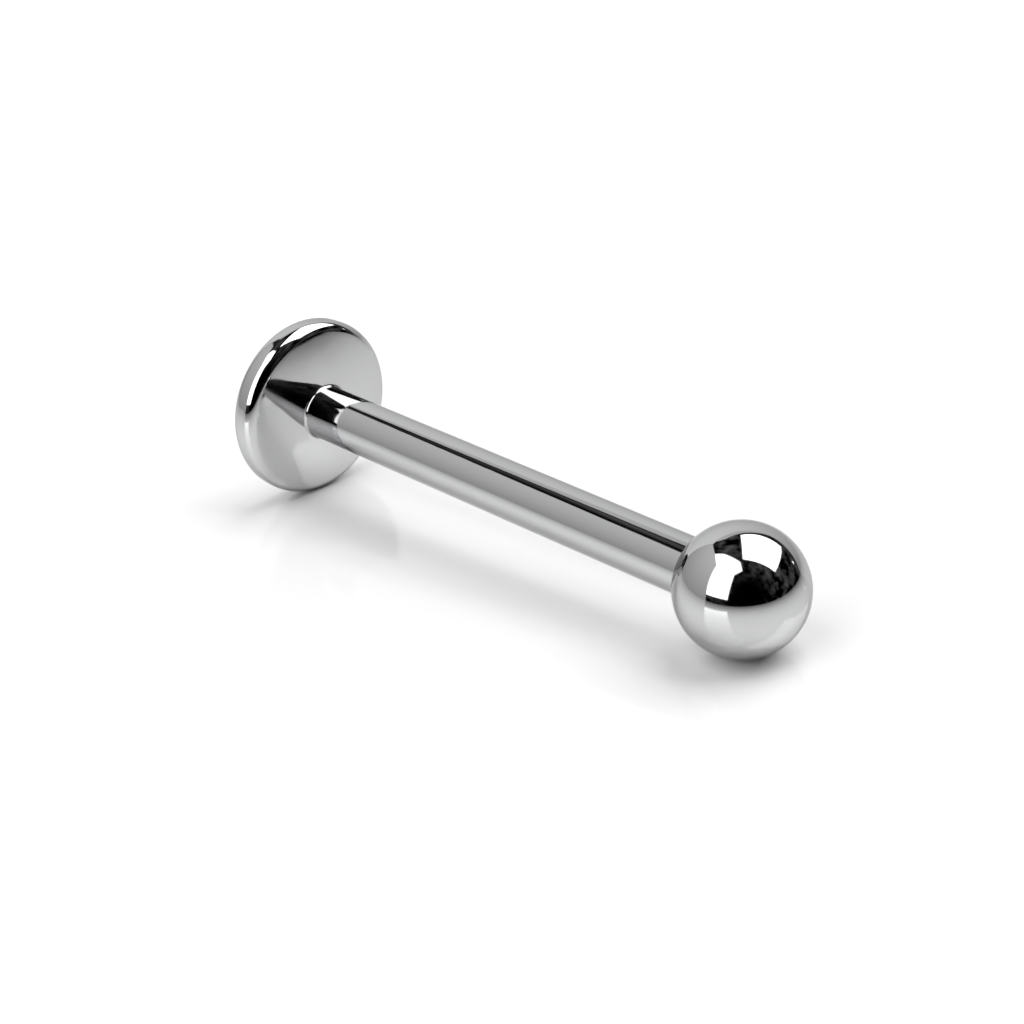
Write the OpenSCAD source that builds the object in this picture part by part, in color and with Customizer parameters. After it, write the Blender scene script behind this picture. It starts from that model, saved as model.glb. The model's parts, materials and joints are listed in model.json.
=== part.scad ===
// Labret stud for a lip or ear piercing: a round disc on a straight post, in one piece,
// closed by a ball that screws on to the threaded end of the post.
// Lengths are in millimetres and angles in degrees. The stud lies as it rests by itself:
// the rim of the disc and the ball touch the plane Z = 0, and the post points to +X.

/* [Disc] */
// Diameter of the disc
disc_d = 4; // [3.2:0.1:5]
// Thickness of the disc at its rim
disc_t = 0.76; // [0.7:0.02:1]
// Radius of the rounding between the flat back and the rim
back_round = 0.34; // [0.2:0.02:0.38]
// Radius of the rounding between the rim and the domed face
face_round = 0.28; // [0.16:0.02:0.3]
// Radius of the shallow dome that the face is part of
face_dome = 7; // [6:0.5:12]

/* [Post] */
// Diameter of the post
post_d = 1.2; // [1:0.05:1.6]
// Length of the post between the disc and the ball, which is the size that is worn
post_l = 11.05; // [6:0.05:16]
// Radius of the fillet where the post meets the disc
foot_fillet = 0.06; // [0.04:0.02:0.2]

/* [Thread] */
// Step from the post down to the crests of the thread
thread_step = 0.08; // [0.06:0.01:0.12]
// Distance from one crest to the next
thread_pitch = 0.25; // [0.2:0.01:0.3]
// Depth of the thread
thread_depth = 0.12; // [0.08:0.01:0.14]
// Width of the flat on each crest
thread_crest = 0.03; // [0.02:0.01:0.06]
// Length of the plain neck between the post and the thread
neck_l = 0.18; // [0.1:0.02:0.3]
// Bevel at the tip of the thread
tip_bevel = 0.08; // [0.04:0.02:0.14]

/* [Ball] */
// Diameter of the ball
ball_d = 2.68; // [2.5:0.02:4]
// Width of the flat ring on the ball that shows round the post
seat_margin = 0.1; // [0.06:0.02:0.2]
// Metal left between the end of the hole and the far side of the ball
ball_wall = 0.6; // [0.4:0.05:0.8]
// Bevel at the mouth of the hole
mouth_bevel = 0.03; // [0.02:0.01:0.05]

/* [Clearances] */
// Radial clearance of the thread in the hole
thread_clear = 0.03; // [0.02:0.01:0.04]
// Gap between the tip of the thread and the end of the hole
tip_gap = 0.12; // [0.05:0.01:0.3]
// Gap between the end of the post and the seat of the ball
seat_gap = 0.02; // [0.01:0.01:0.04]

/* [Hidden] */

$fn = 96;
steel = [0.80, 0.81, 0.82];
// How far a cut starts outside the face that it opens
cut = 0.1;

disc_r = disc_d / 2;
post_r = post_d / 2;
ball_r = ball_d / 2;
thread_r = post_r - thread_step;
root_r = thread_r - thread_depth;
bore_r = thread_r + thread_clear;
seat_r = post_r + seat_margin;

// Heights are measured along the axis of the post, from the flat back of the disc.
rim_top = disc_t - face_round;
rim_centre_r = disc_r - face_round;
// The dome touches the rounding of the rim, so their centres lie the radii's difference apart.
dome_centre = rim_top - sqrt(pow(face_dome - face_round, 2) - pow(rim_centre_r, 2));
// The fillet touches both the dome and the side of the post.
fillet_r = post_r + foot_fillet;
fillet_centre = dome_centre + sqrt(pow(face_dome + foot_fillet, 2) - pow(fillet_r, 2));
foot = dome_centre + sqrt(pow(face_dome, 2) - pow(post_r, 2));
shoulder = foot + post_l;
seat = shoulder + seat_gap;
ball_centre = seat + sqrt(pow(ball_r, 2) - pow(seat_r, 2));
bore_end = ball_centre + ball_r - ball_wall;
thread_start = shoulder + neck_l;
tip = bore_end - tip_gap;
crests = floor((tip - tip_bevel - thread_start) / thread_pitch);

// The post slopes down to the ball until the rim and the ball both touch the plane Z = 0.
reach = ball_centre - rim_top;
rest_tilt = acos((ball_r - face_round) / norm([reach, rim_centre_r])) - atan2(reach, rim_centre_r);
rest_z = ball_r + ball_centre * sin(rest_tilt);
back_x = back_round * cos(rest_tilt) - (disc_r - back_round) * sin(rest_tilt) - back_round;
front_x = ball_centre * cos(rest_tilt) + ball_r;
rest_x = -(back_x + front_x) / 2;

// Turns an outline, drawn as radius across and height up, into the resting stud's place.
// Its seam comes to lie on top, away from the lines that the stud rests on.
module turned() {
    translate([rest_x, 0, rest_z])
        rotate([0, 90 + rest_tilt, 0])
            rotate(180)
                rotate_extrude() children();
}

// Quarter of a circle about a centre, towards larger radii, either above it or below it.
module quarter(centre, r, up) {
    intersection() {
        translate(centre) circle(r);
        translate([centre.x, up ? centre.y : centre.y - r]) square(r);
    }
}

// Outline of the disc: flat back, rounded rim and shallow domed face.
module disc_outline() {
    toward_rim = [rim_centre_r, rim_top - dome_centre] / (face_dome - face_round);
    past_dome = [0, dome_centre] + toward_rim * face_dome * 2;
    quarter([disc_r - back_round, back_round], back_round, false);
    square([disc_r - back_round, back_round]);
    translate([0, back_round]) square([disc_r, rim_top - back_round]);
    quarter([rim_centre_r, rim_top], face_round, true);
    intersection() {
        translate([0, dome_centre]) circle(face_dome, $fn = 720);
        polygon([[0, rim_top], [rim_centre_r, rim_top], past_dome, [0, past_dome.y]]);
    }
}

// Outline of the post with the fillet at its foot.
module post_outline() {
    dome_touch = [0, dome_centre]
        + [fillet_r, fillet_centre - dome_centre] * face_dome / (face_dome + foot_fillet);
    square([post_r, shoulder]);
    difference() {
        polygon([[0, rim_top], dome_touch, [fillet_r, fillet_centre], [0, fillet_centre]]);
        translate([fillet_r, fillet_centre]) circle(foot_fillet);
    }
}

// Outline of the threaded end, whose crests are rings.
module thread_outline() {
    flank = (thread_pitch - thread_crest) / 2;
    ridges = [for (i = [0 : crests - 1]) let (z = thread_start + i * thread_pitch)
        each [[root_r, z], [thread_r, z + flank], [thread_r, z + flank + thread_crest]]];
    run_out = thread_start + crests * thread_pitch;
    polygon(concat(
        [[0, shoulder - neck_l], [root_r, shoulder - neck_l]],
        ridges,
        [[root_r, run_out], [root_r, tip - tip_bevel], [root_r - tip_bevel, tip], [0, tip]]));
}

module stud() {
    color(steel) turned() {
        disc_outline();
        post_outline();
        thread_outline();
    }
}

module ball() {
    color(steel) turned() difference() {
        intersection() {
            translate([0, ball_centre]) circle(ball_r, $fn = 180);
            translate([0, seat]) square([ball_r, ball_d]);
        }
        translate([0, seat - cut]) square([bore_r, bore_end - seat + cut]);
        polygon([[0, seat - mouth_bevel], [bore_r + 2 * mouth_bevel, seat - mouth_bevel],
            [bore_r, seat + mouth_bevel], [0, seat + mouth_bevel]]);
    }
}

stud();
ball();
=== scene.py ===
"""Studio picture of a labret stud: a disc on a post with a screw-on ball, in mirror-polished steel.

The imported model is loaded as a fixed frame. Its two solids are replaced by finer pieces of the
same sizes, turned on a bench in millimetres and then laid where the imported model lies.
"""

import json
import logging
import math
from dataclasses import dataclass, field
from enum import Enum
from typing import Sequence

import bpy
from mathutils import Matrix, Vector


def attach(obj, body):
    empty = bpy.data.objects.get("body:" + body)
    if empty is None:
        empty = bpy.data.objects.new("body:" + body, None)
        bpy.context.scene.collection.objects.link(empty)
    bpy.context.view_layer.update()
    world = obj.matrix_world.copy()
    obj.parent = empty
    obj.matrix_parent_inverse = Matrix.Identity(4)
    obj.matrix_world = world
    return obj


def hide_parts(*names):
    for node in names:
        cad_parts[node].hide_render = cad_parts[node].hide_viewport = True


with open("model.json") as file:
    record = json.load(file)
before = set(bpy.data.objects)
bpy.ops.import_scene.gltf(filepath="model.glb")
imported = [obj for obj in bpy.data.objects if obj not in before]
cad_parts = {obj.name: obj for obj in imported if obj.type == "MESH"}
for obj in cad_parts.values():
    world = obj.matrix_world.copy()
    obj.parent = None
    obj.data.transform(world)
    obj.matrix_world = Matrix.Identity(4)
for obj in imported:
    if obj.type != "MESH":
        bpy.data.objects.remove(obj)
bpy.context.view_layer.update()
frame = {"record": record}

LOG = logging.getLogger("labret_stud")

MM = 0.001
PHOTO_PX = 1024
# Points of a mesh that lie closer than this, in millimetres, become one.
WELD = 1e-5

Point = tuple[float, float]
Bearing = tuple[float, float]
Span = tuple[float, float]


class Node(Enum):
    """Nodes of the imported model, which are also the names of its bodies."""

    STUD = "stud"
    BALL = "ball"


class Cut(Enum):
    """Ways in which one solid changes another."""

    JOIN = "UNION"
    REMOVE = "DIFFERENCE"
    KEEP = "INTERSECT"


def bench_to_rest() -> Matrix:
    """Finds where the bench lies in the model: its axis runs along the post from the disc's back.

    Returns:
        Matrix from the bench, in millimetres, to the resting stud, in metres.
    """
    back = next(m for m in frame["record"]["mounts"] if m["name"] == "disc_back")
    along = -Vector(back["axis"]).normalized()
    across = Vector((0.0, 1.0, 0.0))
    turn = Matrix((across.cross(along), across, along)).transposed()
    return Matrix.Translation(Vector(back["pos_m"])) @ turn.to_4x4() @ Matrix.Scale(MM, 4)


def deselect() -> None:
    """Leaves nothing selected, because an operator acts on all that is."""
    bpy.ops.object.select_all(action="DESELECT")


def pick(piece: bpy.types.Object) -> None:
    """Selects one piece alone and makes it the active one."""
    deselect()
    piece.select_set(True)
    bpy.context.view_layer.objects.active = piece


def arc(centre: Point, radius: float, start: float, end: float, steps: int) -> list[Point]:
    """Lists the points of an arc in an outline.

    Args:
        centre: Distance from the axis and height of the arc's centre.
        radius: Radius of the arc.
        start: Angle of its first point in degrees, from straight outwards.
        end: Angle of its last point in degrees.
        steps: Number of steps between them.

    Returns:
        Its points, each as distance from the axis and height.
    """
    angles = [math.radians(start + (end - start) * i / steps) for i in range(steps + 1)]
    return [(centre[0] + radius * math.cos(t), centre[1] + radius * math.sin(t)) for t in angles]


def turn_outline(name: str, outline: Sequence[Point], segments: int) -> bpy.types.Object:
    """Turns an outline into a closed solid, as on a lathe.

    Args:
        name: Name of the new piece.
        outline: Points from the axis round to the axis again.
        segments: Number of steps in a full turn.

    Returns:
        The turned piece, on the bench.
    """
    deselect()
    bpy.ops.mesh.primitive_plane_add(size=1.0)
    piece = bpy.context.active_object
    piece.name = piece.data.name = name
    bpy.ops.object.mode_set(mode="EDIT")
    bpy.ops.mesh.select_mode(type="VERT")
    bpy.ops.mesh.select_all(action="SELECT")
    bpy.ops.mesh.merge(type="CENTER")
    here = Vector((0.0, 0.0, 0.0))
    for i, (across, up) in enumerate(outline):
        step = Vector((across, 0.0, up)) - here
        if i:
            bpy.ops.mesh.extrude_vertices_move(TRANSFORM_OT_translate={"value": step})
        else:
            bpy.ops.transform.translate(value=step)
        here += step
    bpy.ops.mesh.select_all(action="SELECT")
    bpy.ops.mesh.spin(steps=segments, angle=math.tau, center=(0, 0, 0), axis=(0, 0, 1))
    bpy.ops.mesh.select_all(action="SELECT")
    bpy.ops.mesh.remove_doubles(threshold=WELD)
    bpy.ops.mesh.normals_make_consistent(inside=False)
    bpy.ops.object.mode_set(mode="OBJECT")
    return piece


def combine(piece: bpy.types.Object, tool: bpy.types.Object, cut: Cut) -> None:
    """Applies a boolean with another solid, and takes that solid away.

    Args:
        piece: The solid that stays.
        tool: The solid that changes it.
        cut: What the tool does to it.
    """
    pick(piece)
    change = piece.modifiers.new(cut.name.lower(), "BOOLEAN")
    change.operation, change.solver, change.object = cut.value, "EXACT", tool
    bpy.ops.object.modifier_apply(modifier=change.name)
    bpy.data.objects.remove(tool, do_unlink=True)


@dataclass
class Thread:
    """The thread of the post's end and of the ball's hole, in millimetres."""

    crest_r: float
    depth: float = 0.12
    pitch: float = 0.25
    crest: float = 0.03
    overlap: float = 0.05
    root_gap: float = 0.01
    segments: int = 96

    @property
    def root_r(self) -> float:
        """Radius at the bottom of the thread."""
        return self.crest_r - self.depth

    def ridge(self, name: str, start: float, turns: int) -> bpy.types.Object:
        """Winds the thread's ridge up the axis.

        Args:
            name: Name of the new piece.
            start: Height of the middle of its first end.
            turns: Number of turns.

        Returns:
            The closed ridge, which reaches a little inside the root.
        """
        half = self.pitch / 2 - self.root_gap
        corners = [
            (self.root_r - self.overlap, -half),
            (self.root_r, -half),
            (self.crest_r, -self.crest / 2),
            (self.crest_r, self.crest / 2),
            (self.root_r, half),
            (self.root_r - self.overlap, half),
        ]
        deselect()
        bpy.ops.mesh.primitive_circle_add(vertices=len(corners), radius=1.0, fill_type="NOTHING")
        piece = bpy.context.active_object
        piece.name = piece.data.name = name
        for vertex, (across, up) in zip(piece.data.vertices, corners):
            vertex.co = (across, 0.0, start + up)
        screw = piece.modifiers.new("wind", "SCREW")
        screw.axis, screw.angle, screw.screw_offset = "Z", math.tau, self.pitch
        screw.iterations, screw.steps, screw.render_steps = turns, self.segments, self.segments
        pick(piece)
        bpy.ops.object.modifier_apply(modifier=screw.name)
        bpy.ops.object.mode_set(mode="EDIT")
        bpy.ops.mesh.select_all(action="SELECT")
        bpy.ops.mesh.remove_doubles(threshold=WELD)
        bpy.ops.mesh.select_mode(type="EDGE")
        bpy.ops.mesh.select_all(action="DESELECT")
        bpy.ops.mesh.select_non_manifold()
        bpy.ops.mesh.fill_holes(sides=0)
        bpy.ops.mesh.select_all(action="SELECT")
        bpy.ops.mesh.normals_make_consistent(inside=False)
        bpy.ops.object.mode_set(mode="OBJECT")
        return piece


def add_noise(
    tree: bpy.types.NodeTree,
    where: bpy.types.NodeSocket,
    scale: float,
    detail: float,
    dimensions: str = "3D",
) -> bpy.types.NodeSocket:
    """Adds a noise texture.

    Args:
        tree: The nodes that it joins.
        where: The coordinates that it reads.
        scale: Its scale.
        detail: Its number of finer layers.
        dimensions: How many of the coordinates it reads.

    Returns:
        Its value, from 0 to 1.
    """
    made = tree.nodes.new("ShaderNodeTexNoise")
    made.noise_dimensions = dimensions
    made.inputs["Scale"].default_value = scale
    made.inputs["Detail"].default_value = detail
    tree.links.new(where, made.inputs["Vector"])
    return made.outputs["Fac"]


def add_range(
    tree: bpy.types.NodeTree,
    value: bpy.types.NodeSocket,
    source: Span,
    target: Span = (0.0, 1.0),
    kind: str = "LINEAR",
) -> bpy.types.NodeSocket:
    """Adds a node that turns one range of values into another and stops at its ends.

    Args:
        tree: The nodes that it joins.
        value: The value that it reads.
        source: Ends of the range that is read.
        target: What they become.
        kind: How it goes from one end to the other.

    Returns:
        The new value.
    """
    made = tree.nodes.new("ShaderNodeMapRange")
    made.interpolation_type = kind
    made.inputs["From Min"].default_value, made.inputs["From Max"].default_value = source
    made.inputs["To Min"].default_value, made.inputs["To Max"].default_value = target
    tree.links.new(value, made.inputs["Value"])
    return made.outputs["Result"]


@dataclass(frozen=True)
class PolishedSteel:
    """Mirror-polished surgical steel with the faint marks of its lathe and its buffing wheel."""

    name: str
    tint: tuple[float, float, float] = (0.585, 0.587, 0.592)
    edge_tint: float = 0.65
    gloss: Span = (0.03, 0.075)
    haze_scale: float = 1.4
    haze_detail: float = 3.0
    haze_span: Span = (0.3, 0.7)
    line_scale: float = 34.0
    line_detail: float = 4.0
    line_height: float = 9e-8
    wave_scale: float = 2.2
    wave_detail: float = 1.0
    wave_height: float = 1.5e-6

    def material(self, place: Matrix) -> bpy.types.Material:
        """Builds the finish.

        Args:
            place: Matrix from the bench to the resting stud, so that lines run round the axis.

        Returns:
            The material, whose pattern is measured on the bench in millimetres.
        """
        made = bpy.data.materials.new(self.name)
        made.use_nodes = True
        tree = made.node_tree
        nodes, link = tree.nodes, tree.links.new
        shader = nodes["Principled BSDF"]
        shader.inputs["Base Color"].default_value = (*self.tint, 1.0)
        shader.inputs["Metallic"].default_value = 1.0
        shader.inputs["Specular Tint"].default_value = (*[self.edge_tint] * 3, 1.0)
        where = nodes.new("ShaderNodeTexCoord")
        bench = nodes.new("ShaderNodeMapping")
        bench.vector_type = "TEXTURE"
        bench.inputs["Location"].default_value = place.translation
        bench.inputs["Rotation"].default_value = place.to_euler()
        bench.inputs["Scale"].default_value = place.to_scale()
        link(where.outputs["Object"], bench.inputs["Vector"])
        split = nodes.new("ShaderNodeSeparateXYZ")
        link(bench.outputs["Vector"], split.inputs["Vector"])
        flat = nodes.new("ShaderNodeCombineXYZ")
        link(split.outputs["X"], flat.inputs["X"])
        link(split.outputs["Y"], flat.inputs["Y"])
        out = nodes.new("ShaderNodeVectorMath")
        out.operation = "LENGTH"
        link(flat.outputs["Vector"], out.inputs[0])
        around = nodes.new("ShaderNodeCombineXYZ")
        link(out.outputs["Value"], around.inputs["X"])
        link(split.outputs["Z"], around.inputs["Y"])
        haze = add_noise(tree, bench.outputs["Vector"], self.haze_scale, self.haze_detail)
        lines = add_noise(tree, around.outputs["Vector"], self.line_scale, self.line_detail, "2D")
        wave = add_noise(tree, bench.outputs["Vector"], self.wave_scale, self.wave_detail)
        link(add_range(tree, haze, self.haze_span, self.gloss), shader.inputs["Roughness"])
        fine = nodes.new("ShaderNodeBump")
        fine.inputs["Distance"].default_value = self.line_height
        link(lines, fine.inputs["Height"])
        broad = nodes.new("ShaderNodeBump")
        broad.inputs["Distance"].default_value = self.wave_height
        link(wave, broad.inputs["Height"])
        link(fine.outputs["Normal"], broad.inputs["Normal"])
        link(broad.outputs["Normal"], shader.inputs["Normal"])
        return made


def finish_piece(
    piece: bpy.types.Object, node: Node, place: Matrix, steel: PolishedSteel, sharp: float = 30.0
) -> None:
    """Lays a piece where its solid lies, dresses it and has it stand for that solid.

    Args:
        piece: The piece on the bench.
        node: The node that it replaces and the body that it rides on.
        place: Matrix from the bench to the resting stud.
        steel: Its finish.
        sharp: Edges bent by more than this many degrees stay sharp.
    """
    pick(piece)
    piece.matrix_world = place
    bpy.ops.object.transform_apply(location=True, rotation=True, scale=True)
    bpy.ops.object.shade_smooth_by_angle(angle=math.radians(sharp))
    piece.data.materials.clear()
    piece.data.materials.append(steel.material(place))
    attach(piece, node.value)
    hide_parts(node.value)


@dataclass
class DiscAndPost:
    """The disc and the post, which are one piece of steel, in millimetres."""

    disc_d: float = 4.0
    disc_t: float = 0.76
    back_round: float = 0.34
    face_round: float = 0.28
    face_dome: float = 7.0
    post_d: float = 1.2
    post_l: float = 11.05
    foot_fillet: float = 0.06
    shoulder_soft: float = 0.015
    hold: float = 0.02
    neck_l: float = 0.18
    tip_bevel: float = 0.08
    thread_step: float = 0.08
    blank_margin: float = 0.02
    segments: int = 256
    back_steps: int = 20
    rim_steps: int = 14
    face_steps: int = 12
    foot_steps: int = 14
    post_steps: int = 16
    soft_steps: int = 4
    thread: Thread = field(init=False)

    def __post_init__(self) -> None:
        """Works out where the curves of the disc meet."""
        self.disc_r, self.post_r = self.disc_d / 2, self.post_d / 2
        self.thread = Thread(crest_r=self.post_r - self.thread_step)
        self.rim_top = self.disc_t - self.face_round
        self.rim_centre_r = self.disc_r - self.face_round
        inner = math.sqrt((self.face_dome - self.face_round) ** 2 - self.rim_centre_r**2)
        self.dome_centre = self.rim_top - inner
        self.fillet_r = self.post_r + self.foot_fillet
        outer = math.sqrt((self.face_dome + self.foot_fillet) ** 2 - self.fillet_r**2)
        self.fillet_centre = self.dome_centre + outer
        foot = self.dome_centre + math.sqrt(self.face_dome**2 - self.post_r**2)
        self.shoulder = foot + self.post_l

    def outline(self, tip: float) -> list[Point]:
        """Draws half of the stud's section.

        Args:
            tip: Height of the end of the threaded part.

        Returns:
            Points from the middle of the back, round the rim and along the post, to the tip.
        """
        back_centre = (self.disc_r - self.back_round, self.back_round)
        back = arc(back_centre, self.back_round, -90, 0, self.back_steps)
        meet = math.degrees(math.atan2(self.rim_top - self.dome_centre, self.rim_centre_r))
        rim = arc((self.rim_centre_r, self.rim_top), self.face_round, 0, meet, self.rim_steps)
        touch = math.degrees(math.atan2(self.fillet_centre - self.dome_centre, self.fillet_r))
        face = arc((0.0, self.dome_centre), self.face_dome, meet, touch, self.face_steps)
        foot_centre = (self.fillet_r, self.fillet_centre)
        foot = arc(foot_centre, self.foot_fillet, touch - 180, -180, self.foot_steps)
        soft, root = self.shoulder_soft, self.thread.root_r
        low, high = self.fillet_centre + self.hold, self.shoulder - soft - self.hold
        side = [(self.post_r, low + (high - low) * i / self.post_steps)
                for i in range(self.post_steps + 1)]
        shoulder = arc((self.post_r - soft, self.shoulder - soft), soft, 0, 90, self.soft_steps)
        end = [(root, self.shoulder), (root, tip - self.tip_bevel), (root - self.tip_bevel, tip)]
        return [(0.0, 0.0), *back, *rim, *face[1:-1], *foot, *side, *shoulder, *end, (0.0, tip)]

    def build(self, tip: float) -> bpy.types.Object:
        """Turns the stud and cuts its thread.

        Args:
            tip: Height of the end of the threaded part.

        Returns:
            The stud, on the bench.
        """
        stud = turn_outline("stud_steel", self.outline(tip), self.segments)
        start = self.shoulder + self.neck_l
        turns = math.ceil((tip - start) / self.thread.pitch) + 1
        ridge = self.thread.ridge("stud_thread", start, turns)
        crest = self.thread.crest_r + self.blank_margin
        bevel = self.thread.depth + self.blank_margin
        blank = turn_outline(
            "thread_blank",
            [(0.0, start), (crest - bevel, start), (crest, start + bevel),
             (crest, tip - bevel), (crest - bevel, tip), (0.0, tip)],
            self.segments,
        )
        combine(ridge, blank, Cut.KEEP)
        combine(stud, ridge, Cut.JOIN)
        return stud


@dataclass
class ScrewBall:
    """The ball with its flat seat and its tapped hole, in millimetres."""

    ball_d: float = 2.68
    seat_margin: float = 0.1
    seat_soft: float = 0.015
    ball_wall: float = 0.6
    mouth_bevel: float = 0.03
    thread_clear: float = 0.03
    tip_gap: float = 0.12
    seat_gap: float = 0.02
    drill_tip: float = 0.12
    drill_over: float = 0.2
    drill_segments: int = 192
    throat_bevels: int = 3
    subdivisions: int = 7
    soft_steps: int = 3
    soft_angle: float = 20.0

    def fit(self, stud: DiscAndPost) -> None:
        """Sets the ball on the end of a post.

        Args:
            stud: The disc and post that it screws on to.
        """
        self.ball_r = self.ball_d / 2
        self.bore = Thread(crest_r=stud.thread.crest_r + self.thread_clear)
        self.seat = stud.shoulder + self.seat_gap
        seat_r = stud.post_r + self.seat_margin
        self.centre = self.seat + math.sqrt(self.ball_r**2 - seat_r**2)
        self.bore_end = self.centre + self.ball_r - self.ball_wall
        self.tip = self.bore_end - self.tip_gap
        self.thread_start = stud.shoulder + stud.neck_l

    def build(self) -> bpy.types.Object:
        """Cuts the seat on a ball, drills it and taps the hole.

        Returns:
            The ball, on the bench.
        """
        deselect()
        bpy.ops.mesh.primitive_ico_sphere_add(
            subdivisions=self.subdivisions, radius=self.ball_r, location=(0, 0, self.centre)
        )
        ball = bpy.context.active_object
        ball.name = ball.data.name = "ball_steel"
        bpy.ops.object.transform_apply(location=True, rotation=False, scale=False)
        bpy.ops.object.mode_set(mode="EDIT")
        bpy.ops.mesh.select_all(action="SELECT")
        bpy.ops.mesh.bisect(
            plane_co=(0, 0, self.seat), plane_no=(0, 0, 1), clear_inner=True, use_fill=True
        )
        bpy.ops.object.mode_set(mode="OBJECT")
        pick(ball)
        soften = ball.modifiers.new("soften", "BEVEL")
        soften.width, soften.segments = self.seat_soft, self.soft_steps
        soften.limit_method, soften.angle_limit = "ANGLE", math.radians(self.soft_angle)
        bpy.ops.object.modifier_apply(modifier=soften.name)
        root, mouth = self.bore.root_r, self.bore.crest_r
        outside = self.seat - self.drill_over
        throat = self.seat + self.mouth_bevel * self.throat_bevels
        drill = turn_outline(
            "drill",
            [(0.0, outside), (mouth + self.mouth_bevel + self.drill_over, outside),
             (mouth, self.seat + self.mouth_bevel), (root, throat),
             (root, self.bore_end - self.drill_tip), (0.0, self.bore_end)],
            self.drill_segments,
        )
        combine(ball, drill, Cut.REMOVE)
        turns = math.floor((self.tip - self.thread_start) / self.bore.pitch) + 1
        start = self.thread_start - self.bore.pitch
        combine(ball, self.bore.ridge("tap", start, turns), Cut.REMOVE)
        return ball


@dataclass(frozen=True)
class Patch:
    """A lit area of the studio, seen from the stud, with straight edges.

    Its light changes by the slope's share of the direction.
    """

    corners: tuple[Bearing, ...]
    light: float
    slope: tuple[float, float, float] = (0.0, 0.0, 0.0)
    blur: float = 0.012


def toward(bearing: Bearing) -> Vector:
    """Turns a bearing into a direction.

    Args:
        bearing: Angle round from +X towards +Y, and angle above the floor, in degrees.

    Returns:
        The direction, of length one.
    """
    round_, up = (math.radians(v) for v in bearing)
    return Vector((math.cos(up) * math.cos(round_), math.cos(up) * math.sin(round_), math.sin(up)))


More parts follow.
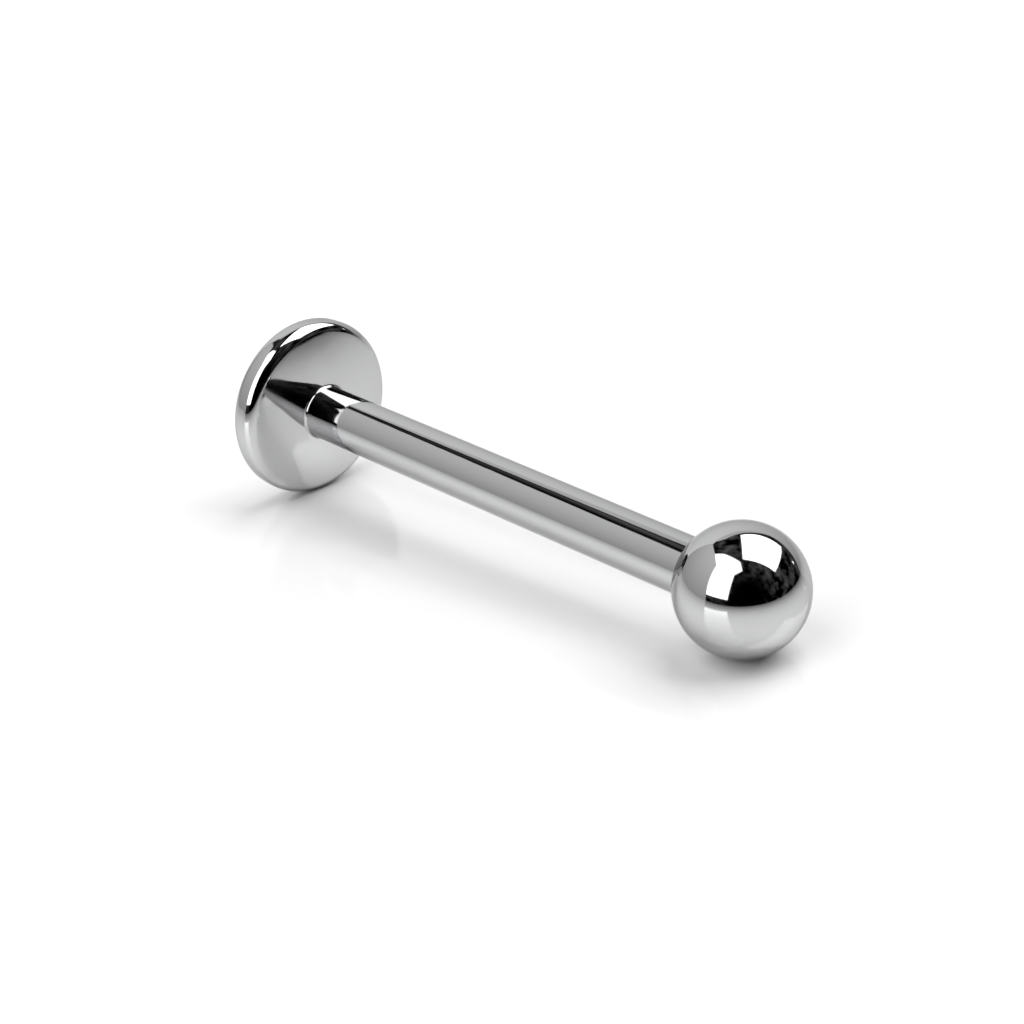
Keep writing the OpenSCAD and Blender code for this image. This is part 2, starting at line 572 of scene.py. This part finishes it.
@dataclass
class Studio:
    """A dark room with a pale sweep behind the stud, a grey panel beside it and softboxes above."""

    backdrop: float = 1.0
    clutter: float = 0.14
    clutter_scale: float = 4.5
    clutter_detail: float = 2.0
    clutter_span: Span = (0.44, 0.76)
    clutter_gap: Bearing = (-42.0, 12.0)
    gap_span: Span = (0.9, 0.55)
    direction: bpy.types.NodeSocket = field(init=False)
    patches: tuple[Patch, ...] = (
        # The sweep behind the stud
        Patch(((71.9, 3.0), (119.3, 38.8), (175.8, 44.1), (175.8, -9.0), (71.9, -9.0)), 0.36,
              slope=(-0.5, 0.134, 0.2)),
        # The strip above the sweep
        Patch(((100.0, 27.0), (170.0, 44.0), (167.0, 49.0), (158.0, 53.0), (135.0, 50.0),
               (112.0, 40.0)), 0.62),
        # The grey panel
        Patch(((175.8, 44.1), (-154.7, 54.5), (-123.4, 55.3), (-109.2, 9.3), (-108.0, -9.0),
               (175.8, -9.0)), 0.41, slope=(0.0, 0.0, 0.38)),
        # The first softbox
        Patch(((130.3, 52.7), (110.0, 45.0), (83.8, 27.6), (26.4, 34.2), (-33.2, 77.5)), 3.6),
        # The second softbox, in two parts
        Patch(((-154.7, 54.5), (-145.0, 67.3), (-52.4, 72.7), (-45.7, 57.4), (-66.0, 50.2),
               (-123.4, 52.0)), 2.6),
        Patch(((-123.4, 55.3), (-66.0, 50.2), (-72.4, 9.5), (-109.2, 9.3)), 2.8),
        # A small bright spot
        Patch(((68.2, 12.6), (72.2, 12.4), (71.2, 15.4), (69.6, 15.2)), 1.8, blur=0.006),
    )

    def node(
        self, tree: bpy.types.NodeTree, kind: str, operation: str, *terms: object
    ) -> bpy.types.NodeSocket:
        """Adds a maths node or a vector maths node.

        Args:
            tree: The world's nodes.
            kind: Type of the node.
            operation: What it does.
            terms: Its inputs, each a socket or a value.

        Returns:
            Its result, which is a number.
        """
        made = tree.nodes.new(kind)
        made.operation = operation
        for slot, term in zip(made.inputs, terms):
            if isinstance(term, bpy.types.NodeSocket):
                tree.links.new(term, slot)
            else:
                slot.default_value = term
        return made.outputs["Value"]

    def shine(self, tree: bpy.types.NodeTree, patch: Patch) -> bpy.types.NodeSocket:
        """Makes the light of one patch.

        Args:
            tree: The world's nodes.
            patch: The patch.

        Returns:
            Its light where the patch is, and 0 elsewhere.
        """
        corners = [toward(c) for c in patch.corners]
        middle = sum(corners, Vector()).normalized()
        depth = None
        for a, b in zip(corners, corners[1:] + corners[:1]):
            inward = a.cross(b).normalized()
            if inward.dot(middle) < 0:
                inward.negate()
            height = self.node(
                tree, "ShaderNodeVectorMath", "DOT_PRODUCT", self.direction, inward
            )
            if depth is not None:
                height = self.node(tree, "ShaderNodeMath", "MINIMUM", depth, height)
            depth = height
        edge = add_range(tree, depth, (-patch.blur, patch.blur), kind="SMOOTHSTEP")
        tone = patch.light
        if any(patch.slope):
            change = self.node(
                tree, "ShaderNodeVectorMath", "DOT_PRODUCT", self.direction, patch.slope
            )
            tone = self.node(tree, "ShaderNodeMath", "ADD", change, patch.light)
        return self.node(tree, "ShaderNodeMath", "MULTIPLY", edge, tone)

    def build(self) -> None:
        """Lights the scene. The camera itself sees a plain pale background."""
        world = bpy.data.worlds.new("studio")
        bpy.context.scene.world = world
        world.use_nodes = True
        tree = world.node_tree
        where = tree.nodes.new("ShaderNodeTexCoord")
        self.direction = where.outputs["Generated"]
        things = add_noise(tree, self.direction, self.clutter_scale, self.clutter_detail)
        dim = add_range(tree, things, self.clutter_span, (0.0, self.clutter))
        facing = self.node(
            tree, "ShaderNodeVectorMath", "DOT_PRODUCT", self.direction, toward(self.clutter_gap)
        )
        away = add_range(tree, facing, self.gap_span)
        light = self.node(tree, "ShaderNodeMath", "MULTIPLY", dim, away)
        for patch in self.patches:
            lit = self.shine(tree, patch)
            light = self.node(tree, "ShaderNodeMath", "MAXIMUM", light, lit)
        seen = tree.nodes.new("ShaderNodeLightPath")
        mix = tree.nodes.new("ShaderNodeMix")
        tree.links.new(seen.outputs["Is Camera Ray"], mix.inputs["Factor"])
        tree.links.new(light, mix.inputs["A"])
        mix.inputs["B"].default_value = self.backdrop
        background = tree.nodes["Background"]
        tree.links.new(mix.outputs["Result"], background.inputs["Strength"])
        background.inputs["Color"].default_value = (1.0, 1.0, 1.0, 1.0)


@dataclass
class Floor:
    """The pale glossy surface that the stud rests on."""

    half_width: float = 0.6
    tone: float = 0.85
    gloss: float = 0.08

    def build(self) -> None:
        """Lays the floor, which isn't part of the object, at height 0."""
        deselect()
        bpy.ops.mesh.primitive_plane_add(size=2 * self.half_width)
        floor = bpy.context.active_object
        floor.name = floor.data.name = "floor"
        made = bpy.data.materials.new("pale_gloss")
        made.use_nodes = True
        shader = made.node_tree.nodes["Principled BSDF"]
        shader.inputs["Base Color"].default_value = (self.tone, self.tone, self.tone, 1.0)
        shader.inputs["Roughness"].default_value = self.gloss
        floor.data.materials.append(made)


@dataclass
class ViewPoint:
    """The camera at the photograph's angle."""

    at_mm: tuple[float, float, float] = (31.82912, -29.1348, 21.32562)
    bearing: float = 137.832
    dip: float = 24.9004
    roll: float = -4.5803
    focal_px: float = 2300.0
    sensor: float = 36.0
    far: float = 10.0

    def build(self) -> None:
        """Makes the camera and looks through it."""
        ahead = toward((self.bearing, -self.dip))
        level = ahead.cross(Vector((0.0, 0.0, 1.0))).normalized()
        above = level.cross(ahead)
        turn = math.radians(self.roll)
        right = math.cos(turn) * level + math.sin(turn) * above
        up = -math.sin(turn) * level + math.cos(turn) * above
        lens = bpy.data.cameras.new("camera")
        lens.sensor_width = self.sensor
        lens.lens = self.focal_px / PHOTO_PX * self.sensor
        lens.clip_start, lens.clip_end = MM, self.far
        camera = bpy.data.objects.new("camera", lens)
        bpy.context.collection.objects.link(camera)
        frame_of = Matrix((right, up, -ahead)).transposed().to_4x4()
        camera.matrix_world = Matrix.Translation(Vector(self.at_mm) * MM) @ frame_of
        bpy.context.scene.camera = camera


def main() -> None:
    """Builds the stud, its ball and the studio, in that order."""
    logging.basicConfig(level=logging.INFO, format="%(name)s: %(message)s")
    place = bench_to_rest()
    stud, ball = DiscAndPost(), ScrewBall()
    ball.fit(stud)
    for name, piece, node in (
        ("disc and post", stud.build(ball.tip), Node.STUD),
        ("ball", ball.build(), Node.BALL),
    ):
        finish_piece(piece, node, place, PolishedSteel(f"polished_steel_{node.value}"))
        LOG.info("%s: %d faces", name, len(piece.data.polygons))
    Floor().build()
    Studio().build()
    ViewPoint().build()
    bpy.context.scene.view_settings.view_transform = "Standard"


if __name__ == "__main__":
    main()
